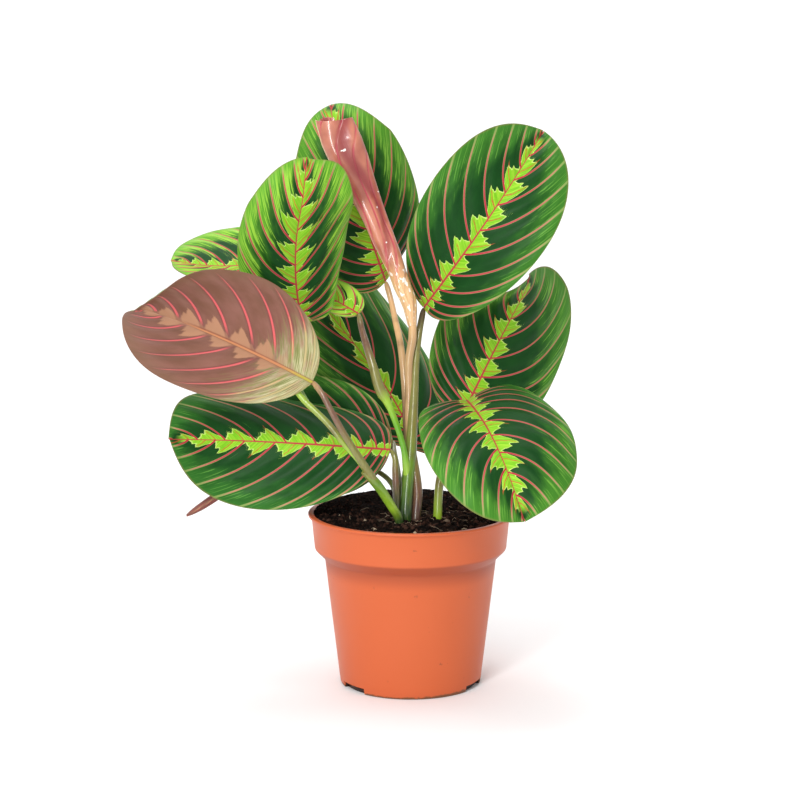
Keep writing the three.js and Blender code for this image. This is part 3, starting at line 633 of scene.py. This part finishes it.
# The upper face: deep green that freshens outwards, with pale strands and a pale halo at each vein.
DEEP_GREENS = (0.004, 0.032, 0.007), (0.012, 0.074, 0.012)
FRESH_GREENS = (0.024, 0.125, 0.018), (0.115, 0.35, 0.024)
STREAK_GREENS = (0.12, 0.34, 0.06), (0.32, 0.58, 0.05)
HALO, MARGIN = (0.34, 0.42, 0.13), (0.20, 0.19, 0.06)
LIMES = (0.30, 0.57, 0.034), (0.165, 0.44, 0.016)
LIME_SHADE, LIME_EDGE, LIME_TIP = (0.12, 0.36, 0.012), (0.60, 0.76, 0.20), (0.20, 0.46, 0.03)
VEIN_REDS = (0.46, 0.020, 0.048), (0.52, 0.095, 0.105)
VEIN_END, VEIN_CORE = (0.46, 0.22, 0.14), (0.40, 0.010, 0.040)
FINE_VEIN, MIDRIB_RED = (0.48, 0.06, 0.03), (0.42, 0.045, 0.050)

upper = Surface("leaf_upper_look")
m = leaf_marks(upper)
strands, patches = drawn_out(upper, m, 15.0, 0.04), drawn_out(upper, m, 2.0, 0.07)
lighter_after = upper.times(upper.minus(0.5, m.within), upper.times(m.bright, 0.42))
outward = upper.plus(m.edge, upper.swing(patches, 0.6), upper.times(m.bright, 0.12), lighter_after)
deep, fresh = upper.mix(patches, *DEEP_GREENS), upper.mix(m.bright, *FRESH_GREENS)
colour = upper.mix(upper.ramp(outward, 0.45, 1.0), deep, fresh)
needed = upper.minus(upper.ramp(outward, 0.42, 0.90, 0.80, 0.59), upper.times(m.bright, 0.13))
needed = upper.minus(needed, upper.times(lighter_after, 0.3))
pale = upper.ramps((upper.minus(strands, needed), -0.03, 0.04), (m.edge, 1.0, 0.8, 0.35, 1.0),
                   (m.bright, 0.0, 0.8, 0.55, 0.95))
colour = upper.mix(pale, colour, upper.mix(m.bright, *STREAK_GREENS))
near = upper.ramps((m.from_vein, 0.85, 0.40), (m.edge, 0.1, 0.6, 0.3, 0.55))
colour = upper.mix(near, colour, HALO)

# Its lime band: two limes in strands, duller patches and tip, and a pale rim to each tooth.
lime = upper.mix(upper.ramp(strands, 0.38, 0.6), *LIMES)
lime = upper.mix(upper.ramp(patches, 0.55, 0.75, 0.0, 0.45), lime, LIME_SHADE)
lime = upper.mix(upper.times(upper.ramp(m.inside, 0.8, 0.2), 0.85), lime, LIME_EDGE)
lime = upper.mix(upper.ramp(m.share, 0.84, 0.95, 0.0, 0.6), lime, LIME_TIP)
colour = upper.mix(m.band, colour, lime)

# Its red veins: pinker outwards, paler at their ends, and deeper along their cores.
pinker = upper.ramps((m.aside, 1.0, 14.0), (m.bright, 0.3, 0.7, 1.0, 0.45))
paler = upper.ramps((m.edge, 0.45, 0.95), (m.bright, 0.5, 0.3, 0.2, 1.0))
core = upper.ramps((m.from_vein, 0.34, 0.10), (m.edge, 0.9, 0.4, 0.0, 0.75))
vein_red = upper.mix(core, upper.mix(paler, upper.mix(pinker, *VEIN_REDS), VEIN_END), VEIN_CORE)
colour = upper.mix(m.line, colour, vein_red)
colour = upper.mix(upper.times(m.fine_vein, 0.8), colour, FINE_VEIN)
colour = upper.mix(m.rib, colour, MIDRIB_RED)
colour = upper.mix(upper.ramp(m.edge, 0.972, 0.996, 0.0, 0.6), colour, MARGIN)
height = upper.minus(upper.times(strands, 0.35), upper.times(m.line, 0.5))
upper_look = upper.finish(
    Base_Color=colour, Roughness=upper.ramp(patches, 0.3, 0.7, 0.34, 0.46),
    Specular_IOR_Level=0.08, Normal=upper.bump(height, 0.4, 0.4 * MM))

# The underside: mauve brown, washed with cream at the base, with tan marks behind the lime teeth.
MAUVES, MARGIN_MAUVE = ((0.170, 0.068, 0.040), (0.225, 0.092, 0.066)), (0.20, 0.115, 0.060)
CREAMS, BLUSH = ((0.22, 0.26, 0.07), (0.56, 0.53, 0.30)), (0.36, 0.17, 0.11)
# Then a tan mark and the painted shadow beside the raised veins.
TAN_MARK, PAINTED_VEIN_SHADOW = (0.42, 0.21, 0.115), (0.16, 0.055, 0.045)
VEIN_PINKS, BASE_VEIN = ((0.64, 0.105, 0.110), (0.42, 0.13, 0.10)), (0.50, 0.40, 0.18)
RIB_TANS, BESIDE_RIB = ((0.42, 0.36, 0.05), (0.50, 0.20, 0.085)), (0.22, 0.060, 0.028)

lower = Surface("leaf_under_look")
m = leaf_marks(lower)
strands, patches = drawn_out(lower, m, 12.0, 0.05), drawn_out(lower, m, 1.4, 0.06)
mauve = lower.mix(lower.ramp(patches, 0.3, 0.7), *MAUVES)
mauve = lower.mix(lower.ramp(m.edge, 0.7, 1.0, 0.0, 0.4), mauve, MARGIN_MAUVE)
slant = lower.times(m.edge, lower.ramp(m.side, -0.5, 0.5, 3.4, 2.0))
wash = lower.plus(m.vein, slant, lower.swing(strands, 4.0), lower.swing(patches, 2.0))
wash = lower.ramp(wash, 6.2, 3.8)
cream = lower.mix(lower.ramp(strands, 0.42, 0.56), *CREAMS)
cream = lower.mix(lower.ramp(patches, 0.52, 0.7, 0.0, 0.6), cream, BLUSH)
colour = lower.mix(lower.times(wash, 0.85), mauve, cream)
tan = lower.ramps((m.inside, -0.9, 0.8), (m.share, 0.99, 0.9, 0.0, 0.85), (m.vein, 3.6, 5.6))
colour = lower.mix(tan, colour, TAN_MARK)

# Its veins stand proud and pink in a line of painted shadow, and its midrib is tan between
# dark edges.
vein_width = lower.math("MINIMUM", lower.ramp(m.edge, 0.1, 0.95, 0.72, 0.4), lower.times(m.gap, 0.11))
raised = lower.ramps((lower.minus(m.from_vein, vein_width), 0.2, -0.2),
                     (m.edge, 0.04, 0.2), (m.edge, 0.97, 0.78))
# Painted shadow: a darker band on both sides of each raised vein, fading where the cream wash is.
vein_shadow_mask = lower.ramps((m.from_vein, 2.2, 0.9), (m.edge, 1.0, 0.7, 0.0, 0.5))
colour = lower.mix(lower.times(vein_shadow_mask, lower.minus(1.0, wash)), colour, PAINTED_VEIN_SHADOW)
pink = lower.mix(lower.ramp(m.edge, 0.5, 0.95), *VEIN_PINKS)
colour = lower.mix(raised, colour, lower.mix(lower.ramp(wash, 0.2, 0.8), pink, BASE_VEIN))
beside_rib = lower.ramps((m.aside, 1.5, 0.8), (m.share, 0.72, 0.5, 0.0, 0.75))
colour = lower.mix(beside_rib, colour, BESIDE_RIB)
rib_tan = lower.mix(lower.ramp(m.share, 0.02, 0.16), *RIB_TANS)
colour = lower.mix(lower.times(m.rib, lower.ramp(m.share, 0.72, 0.52)), colour, rib_tan)
height = lower.plus(raised, lower.times(strands, 0.12))
under_look = lower.finish(Base_Color=colour, Roughness=0.45, Specular_IOR_Level=0.3,
                          Normal=lower.bump(height, 0.8, 0.6 * MM))

for number, (name, leaf) in enumerate(LEAVES.items()):
    make_leaf(name, leaf, number)


# ------------------------ the rolled leaf
# The youngest blade, still rolled about its own length with the underside outwards. It is thin
# and glossy, mauve pink with raised pink veins and cream at its base, where its petiole ends.

ROLL_AXIS = [(1, -4, 217), (-1, -3, 231), (-5, -2, 241), (-9, -1, 252), (-14, 0, 264), (-20, 1, 277),
             (-25, 2, 289), (-30, 3, 301), (-35, 4, 313), (-40, 5, 325), (-45, 6, 338)]
ROLL_RADII = (2.6, 4.8, 5.7, 6.2, 6.8, 8, 9, 10.2, 12, 12.7, 11.6)
ROLL_SKEW = 0.36
ROLL_TURNS = 1.2
ROLL_PITCH = 0.35
ROLL_FLATTENING = 0.45
ROLL_FIRST_ANGLE = 340
ROLL_ROWS, ROLL_COLUMNS = 150, 160
ROLL_THICKNESS = 0.5
FOLD_DEPTH, FOLDS_AROUND, FOLDS_ALONG = 1.6, 3.1, 0.75
RAGGED_TOP = 1.1
ROLL_PINKS = (0.36, 0.100, 0.066), (0.56, 0.200, 0.120)
ROLL_CREAMS = (0.66, 0.33, 0.14), (0.80, 0.54, 0.27)
# Then the vein colour and the painted shade in the folds.
ROLL_VEIN, PAINTED_FOLD_SHADE = (0.50, 0.040, 0.075), (0.26, 0.025, 0.032)
# Then the pale free edge and the white of the painted highlights.
ROLL_EDGE, PAINTED_HIGHLIGHT = (0.78, 0.55, 0.30), (0.95, 0.90, 0.84)


def spread(values, u):
    """Values spaced evenly over 0 to 1, read at u along the straight lines between them."""
    return np.interp(u, np.linspace(0, 1, len(values)), values)


def spline(points, u):
    """Points and directions at shares u of a centripetal Catmull-Rom curve through the points: a
    cubic between each two, with slopes from its neighbours weighted by the root of their distance."""
    p = np.array(points, float)
    p = np.concatenate([[2 * p[0] - p[1]], p, [2 * p[-1] - p[-2]]])
    spans = len(p) - 3
    k = np.minimum((u * spans).astype(int), spans - 1)
    s = (u * spans - k)[:, None]
    a, b, c, d = p[k], p[k + 1], p[k + 2], p[k + 3]
    first, second, third = (np.linalg.norm(q - r, axis=1)[:, None] ** 0.5
                            for q, r in ((a, b), (b, c), (c, d)))
    leave = ((b - a) / first - (c - a) / (first + second) + (c - b) / second) * second
    arrive = ((c - b) / second - (d - b) / (second + third) + (d - c) / third) * second
    cube, square = -2 * c + 2 * b + leave + arrive, 3 * c - 3 * b - 2 * leave - arrive
    slope = 3 * cube * s * s + 2 * square * s + leave
    return cube * s ** 3 + square * s * s + leave * s + b, unit(slope)


# A scroll whose radius shrinks as it winds, flattened and skewed towards its ragged top, with folds
# that are a squared sine of a slanting phase.
u = np.linspace(0, 1, ROLL_ROWS)[:, None]
wound = np.linspace(0, 1, ROLL_COLUMNS)[None, :]
centre, along = (part[:, None] for part in spline(ROLL_AXIS, u[:, 0]))
across = unit(np.cross(along, (0, 1, 0)))
away = np.cross(across, along)
radius = spread(ROLL_RADII, u) * (1 - ROLL_PITCH * wound)
angle = math.radians(ROLL_FIRST_ANGLE) - 2 * np.pi * ROLL_TURNS * wound
cosine, sine = np.cos(angle)[..., None], np.sin(angle)[..., None]
inwards = -(across * cosine + away * sine)
skin = (centre + across * (radius[..., None] * cosine)
        + away * ((radius * (1 - ROLL_FLATTENING * u))[..., None] * sine))
skin = skin + along * ((ROLL_SKEW * radius)[..., None] * cosine * u[..., None] ** 6)
fold_phase = 2 * np.pi * (FOLDS_AROUND * wound - FOLDS_ALONG * u) + 1.9 * np.sin(9.0 * u) + 0.6
groove = smoothstep(0.12, 0.5, u) * (0.5 + 0.5 * np.sin(fold_phase)) ** 2
skin = skin + inwards * (FOLD_DEPTH * groove + 0.12 * bumps(skin, 9.0, 21))[..., None]
skin = skin - along * (RAGGED_TOP * (1 + np.sin(11.0 * wound + 0.5)) * u ** 12)[..., None]
half_sheet = inwards * ROLL_THICKNESS / 2
rolled = make_piece(
    "leaf_rolled_blade", np.concatenate([skin - half_sheet, skin + half_sheet]).reshape(-1, 3),
    np.concatenate(sheet_faces(ROLL_ROWS, ROLL_COLUMNS)), "leaf_rolled", 50,
    {"rise": twice(u + 0 * wound), "around": twice(wound + 0 * u), "girth": twice(radius),
     "groove": twice(groove)})

# Mauve pink over cream, with slanting raised veins, painted shade in the dark folds, and painted
# highlights in small dots and larger glints.
roll = Surface("leaf_young_look")
rise, around, girth = roll.attribute("rise"), roll.attribute("around"), roll.attribute("girth")
sway = roll.math("SINE", roll.plus(roll.times(rise, 8.5), roll.times(around, 5.0)))
lines = roll.plus(roll.times(around, 9.0), roll.times(rise, -3.4), roll.times(sway, 0.5))
aside = roll.math("ABSOLUTE", roll.minus(roll.math("FRACT", lines), 0.5))
aside = roll.times(aside, girth, 0.8)
fade = roll.noise(roll.vector(roll.math("FLOOR", lines), roll.times(rise, 3.0)), 2.0, 1.0)
vein_line = roll.ramps((aside, 0.95, 0.25), (fade, 0.34, 0.5, 0.3, 1.0))
strands = roll.noise(roll.vector(roll.times(around, 90.0), roll.times(rise, 5.0)), 1.0)
clouds = roll.noise(roll.coordinates(), 55.0, 3.0)
pink = roll.mix(roll.ramp(clouds, 0.35, 0.65), *ROLL_PINKS)
cream = roll.mix(roll.ramp(strands, 0.35, 0.65), *ROLL_CREAMS)
colour = roll.mix(roll.ramp(roll.plus(rise, roll.swing(strands, 0.22)), 0.18, 0.40), cream, pink)
colour = roll.mix(roll.times(vein_line, roll.ramp(rise, 0.14, 0.4, 0.0, 0.8)), colour, ROLL_VEIN)
# Painted shade: the folds darken, dark red, with their depth.
colour = roll.mix(roll.ramp(roll.attribute("groove"), 0.35, 1.0, 0.0, 0.75), colour, PAINTED_FOLD_SHADE)
colour = roll.mix(roll.times(roll.ramp(around, 0.02, 0.008), 0.8), colour, ROLL_EDGE)
# Painted highlights: small white dots over the roll and larger glints near its base.
painted_dots = roll.ramp(roll.noise(roll.coordinates(), 330.0, 1.0), 0.755, 0.78)
painted_glints = roll.noise(roll.vector(roll.times(around, 15.0), roll.times(rise, 21.0)), 1.0)
painted_glints = roll.times(roll.ramp(painted_glints, 0.57, 0.62), roll.ramp(rise, 0.34, 0.24), 0.85)
colour = roll.mix(roll.math("MAXIMUM", painted_dots, painted_glints), colour, PAINTED_HIGHLIGHT)
relief = roll.plus(vein_line, roll.times(strands, 0.35), roll.times(clouds, 2.0))
rolled.data.materials.append(roll.finish(
    Base_Color=colour, Roughness=0.32, Specular_IOR_Level=0.45, Coat_Weight=0.9, Coat_Roughness=0.07,
    Normal=roll.bump(relief, 0.55, 0.6 * MM)))


# ------------------------ the shoots
# Three juicy shoots with their sheathed petioles, each grown as one piece. They are green at the
# youngest joints and olive, tan or brown on the sheaths, and their feet stand in the soil.

STEM_SIDES, SPAN_ROWS = 28, 12
OUT_OF_ROUND = 0.03
PETIOLE_END, END_SET_BACK, NARROWS_OVER = 1.7, 0.4, 4
GREEN, LIME, OLIVE = (0.12, 0.24, 0.02), (0.30, 0.50, 0.03), (0.19, 0.18, 0.04)
BROWN, TAN, DARK = (0.15, 0.070, 0.040), (0.46, 0.28, 0.13), (0.022, 0.060, 0.009)
BRIGHT, CREAM, PLUM = (0.11, 0.35, 0.008), (0.70, 0.42, 0.20), (0.060, 0.024, 0.022)
FIBRE_LIGHT, BLOTCH = (0.62, 0.62, 0.20), (0.08, 0.04, 0.02)

# Each stem: its path, its radii and its colours, both spread evenly along it, and the leaf it bears.
SHOOTS = {
    "left_shoot": [
        ([(-8, -31, 80), (-7, -27, 105), (-11, -29, 113), (-20, -34, 128), (-27, -36, 136)],
         (2.6, 2.6, 2.7, 3, 2.5), (DARK, DARK, LIME, GREEN, OLIVE), None),
        ([(-20, -34, 128), (-31, -37, 144), (-38, -38, 152), (-48, -36, 164), (-66, -30, 182),
          (-69, -28, 194), (-66, -26, 208)],
         (2.4, 2.2, 2.1, 2, 1.9, 1.8, 1.6, 1.5),
         (OLIVE, LIME, OLIVE, LIME, LIME, GREEN), "leaf_upper_left"),
        ([(-20, -34, 128), (-32, -41, 148), (-39, -44, 160), (-46, -44, 173), (-51, -42, 182)],
         (2.4, 2.2, 2, 1.8, 1.7), (OLIVE, OLIVE, BROWN, BROWN, TAN), "leaf_left_front"),
        ([(-60, -32, 175), (-78, -8, 205), (-78, 8, 230)],
         (1.7, 1.5, 1.4), (GREEN, GREEN, OLIVE), "leaf_left_small"),
    ],
    "centre_shoot": [
        ([(-3, -18, 80), (-3, -20, 104), (-2, -17, 121), (0, -13, 142), (1, -11, 158),
          (2, -7, 176), (3, -3, 196), (5, 1, 212)],
         (3.5, 3.6, 3.5, 3.5, 3, 2.6, 2.3, 2),
         (DARK, DARK, GREEN, OLIVE, OLIVE, OLIVE, PLUM), "leaf_upper_right"),
        ([(-6, -18, 80), (-8, -19, 104), (-8.5, -18, 121), (-9, -16.5, 132), (-9.3, -14.5, 139.5)],
         (2.4, 2.4, 2.2, 2, 1.7), (PLUM, DARK, BROWN, OLIVE, OLIVE), "leaf_left_lower"),
        ([(2, -18, 80), (3, -18, 103), (4, -15, 120), (1, -12, 142)],
         (3, 3, 3, 2.6), (PLUM, PLUM, BROWN, OLIVE), None),
        ([(-2, -16, 130), (-4, -17, 145), (-8, -18, 159), (-14, -18, 174), (-18, -18, 181),
          (-22, -16, 194), (-26, -10, 206), (-29, -2, 215)],
         (2.6, 1.9, 1.8, 2.0, 3.3, 3, 2.4, 2.1, 1.8),
         (LIME, BRIGHT, BRIGHT, LIME, OLIVE, OLIVE, BROWN, BROWN, OLIVE), "leaf_small"),
        ([(0, -12, 142), (-2, -4, 154), (-3, 4, 174), (-6, 18, 202), (-9, 27, 215), (-12, 34, 228)],
         (2.4, 2.4, 2.2, 2, 1.7), (OLIVE, BROWN, TAN, CREAM, CREAM, TAN), "leaf_top"),
        ([(0, -12, 142), (-1, -8, 158), (-1, -6, 176), (-1, -5, 196), (1, -4, 209), (1.1, -4, 219)],
         (2.4, 2.4, 2.4, 2.6, 2.4), (OLIVE, TAN, TAN, TAN, CREAM), None),
        ([(-4, -16, 112), (-4, -4, 122), (-2, 16, 130), (0, 40, 130)],
         (2.2, 2, 1.9, 1.7), (DARK, GREEN, GREEN, GREEN), "leaf_back_centre"),
        ([(-6, -16, 112), (-8, 0, 130), (-10, 12, 139)],
         (2.2, 1.9, 1.7), (DARK, OLIVE, OLIVE), "leaf_left_back"),
        ([(-6, -16, 110), (-14, 2, 124), (-42, 10, 136), (-66, 10, 141), (-83, 8, 137)],
         (1.8, 1.6, 1.4, 1.3, 1.2), (DARK, OLIVE, OLIVE, BROWN), "leaf_hanging"),
    ],
    "right_shoot": [
        ([(15, -14, 80), (16, -14, 105), (17, -12, 123), (20, -10, 137), (25, -9, 155), (31, -12, 168)],
         (2.7, 2.7, 2.6, 2.4, 2, 1.9),
         (LIME, LIME, OLIVE, OLIVE, OLIVE, BROWN, BROWN), "leaf_lower_right"),
        ([(19, -11, 130), (22, -6, 140), (26, 6, 148)],
         (2.2, 1.9, 1.8), (OLIVE, OLIVE, OLIVE), "leaf_middle_right"),
    ],
}


def stem_tube(path, radii, colours, leaf):
    """A round tube along a smooth path: across each point lie a cosine to the side and a sine to
    the front, times the radius. A petiole runs on into its leaf's base and narrows there by the
    root of the way left. Gives its points in rows, and a colour for each row."""
    if leaf:
        base = np.array(LEAVES[leaf]["base"], float)
        heading = midrib(LEAVES[leaf], np.array(0.0))[1]
        path, radii = [*path, base - END_SET_BACK * heading], (*radii, PETIOLE_END)
    u = np.linspace(0, 1, SPAN_ROWS * (len(path) - 1) + 1)
    centre, along = spline(path, u)
    radius = spread(radii, u)
    if leaf:
        to_end = np.linalg.norm(centre - centre[-1], axis=1)
        radius = radius * (0.4 + 0.6 * np.sqrt(np.clip(to_end / NARROWS_OVER, 0, 1)))
    side = unit(np.cross(along, (0, 1, 0)))
    front = np.cross(along, side)
    turn = 2 * np.pi * np.arange(STEM_SIDES) / STEM_SIDES
    radius = radius[:, None] * (1 - OUT_OF_ROUND + OUT_OF_ROUND * np.cos(2 * turn + 1.0))
    points = (centre[:, None] + side[:, None] * (radius * np.cos(turn))[..., None]
              + front[:, None] * (radius * np.sin(turn))[..., None])
    tones = [spread(channel, u) for channel in zip(*colours)]
    return points, np.stack([*tones, np.ones(len(u))], -1)


# Smooth wet skin with fine lengthwise fibres and brown blotches over each stem's own colours.
stalk = Surface("stem_look")
place = stalk.coordinates()
lengthwise = stalk.node("ShaderNodeMapping", {"Vector": place, "Scale": (1, 1, 0.08)})
fibres = stalk.noise(lengthwise, 900.0, 3.0)
blotches = stalk.noise(place, 90.0, 3.0)
tint = stalk.attribute("tint", "Color")
colour = stalk.mix(stalk.ramp(fibres, 0.45, 0.75, 0.0, 0.4), tint, stalk.mix(0.25, tint, FIBRE_LIGHT))
colour = stalk.mix(stalk.ramp(blotches, 0.52, 0.8, 0.0, 0.5), colour, BLOTCH)
stem_look = stalk.finish(Base_Color=colour, Roughness=0.36, Specular_IOR_Level=0.2, Coat_Weight=1.0,
                         Coat_Roughness=0.14, Normal=stalk.bump(fibres, 0.25, 0.15 * MM))

for name, stems in SHOOTS.items():
    points, faces, tints, start = [], [], [], 0
    for stem in stems:
        tube, tones = stem_tube(*stem)
        points.append(tube.reshape(-1, 3))
        tints.append(np.repeat(tones, STEM_SIDES, 0))
        end = start + len(points[-1])
        faces += [*grid_faces(len(tube), STEM_SIDES, start, closed=True)]
        faces += [range(start, start + STEM_SIDES)[::-1], range(end - STEM_SIDES, end)]
        start = end
    shoot = make_piece(name + "_stems", np.concatenate(points), faces, name, 60,
                       colours={"tint": np.concatenate(tints)})
    shoot.data.materials.append(stem_look)


# ------------------------ the studio
# A pale sweep of board is the floor and the backdrop. Four soft lamps and a white sky light the
# plant, and the camera looks at it from the photo's side and height.

SWEEP = [(-3.0, 0.0), (1.2, 0.0), (1.5, 0.03), (1.8, 0.12), (2.05, 0.3), (2.2, 0.6), (2.25, 2.6)]
SWEEP_HALF_WIDTH = 3.0

floor_mesh = bpy.data.meshes.new("floor")
floor_mesh.from_pydata([(x, y, z) for y, z in SWEEP for x in (-SWEEP_HALF_WIDTH, SWEEP_HALF_WIDTH)], [],
                       [(2 * k, 2 * k + 1, 2 * k + 3, 2 * k + 2) for k in range(len(SWEEP) - 1)])
floor_mesh.shade_smooth()
white = Surface("studio_white")
floor_mesh.materials.append(white.finish(Base_Color=(0.92, 0.92, 0.92), Roughness=0.9))
floor = bpy.data.objects.new("floor", floor_mesh)
scene.collection.objects.link(floor)


def soft_lamp(name, place, target, size, power, height=None):
    """An area lamp, square unless a height is given. It is tipped by the angle between straight
    down and the way to its target, and turned to that way's bearing."""
    lamp = bpy.data.lights.new(name, "AREA")
    lamp.shape, lamp.size, lamp.size_y, lamp.energy = "RECTANGLE", size, height or size, power
    lamp_object = bpy.data.objects.new(name, lamp)
    heading = np.array(target) - np.array(place)
    lamp_object.location = place
    lamp_object.rotation_euler = (math.acos(-heading[2] / np.linalg.norm(heading)), 0,
                                  math.atan2(heading[1], heading[0]) - math.pi / 2)
    scene.collection.objects.link(lamp_object)


# The key from the upper left, a tall lamp for long highlights, one above, and one on the sweep.
soft_lamp("key_lamp", (-0.3, -1.25, 1.1), (0, 0, 0.2), 0.45, 11.5)
soft_lamp("tall_lamp", (-0.47, -1.15, 0.42), (0, 0, 0.25), 0.16, 5.5, 0.75)
soft_lamp("top_lamp", (-0.2, 0.1, 1.5), (0, 0, 0.2), 0.8, 7)
soft_lamp("sweep_lamp", (0, 0.9, 1.7), (0, 1.9, 0.4), 1.6, 16)

world = bpy.data.worlds.new("studio")
world.use_nodes = True
sky = world.node_tree.nodes["Background"].inputs
sky["Color"].default_value, sky["Strength"].default_value = (1, 1, 1, 1), 0.6
scene.world = world
scene.view_settings.view_transform = "Standard"

camera_data = bpy.data.cameras.new("camera")
camera_data.sensor_width, camera_data.lens, camera_data.clip_start = 36, 107.72, 0.05
camera = bpy.data.objects.new("camera", camera_data)
camera.location = (-0.0063, -1.4, 0.4095)
camera.rotation_euler = (math.radians(90 - 9.64), 0, 0)
scene.collection.objects.link(camera)
scene.camera = camera
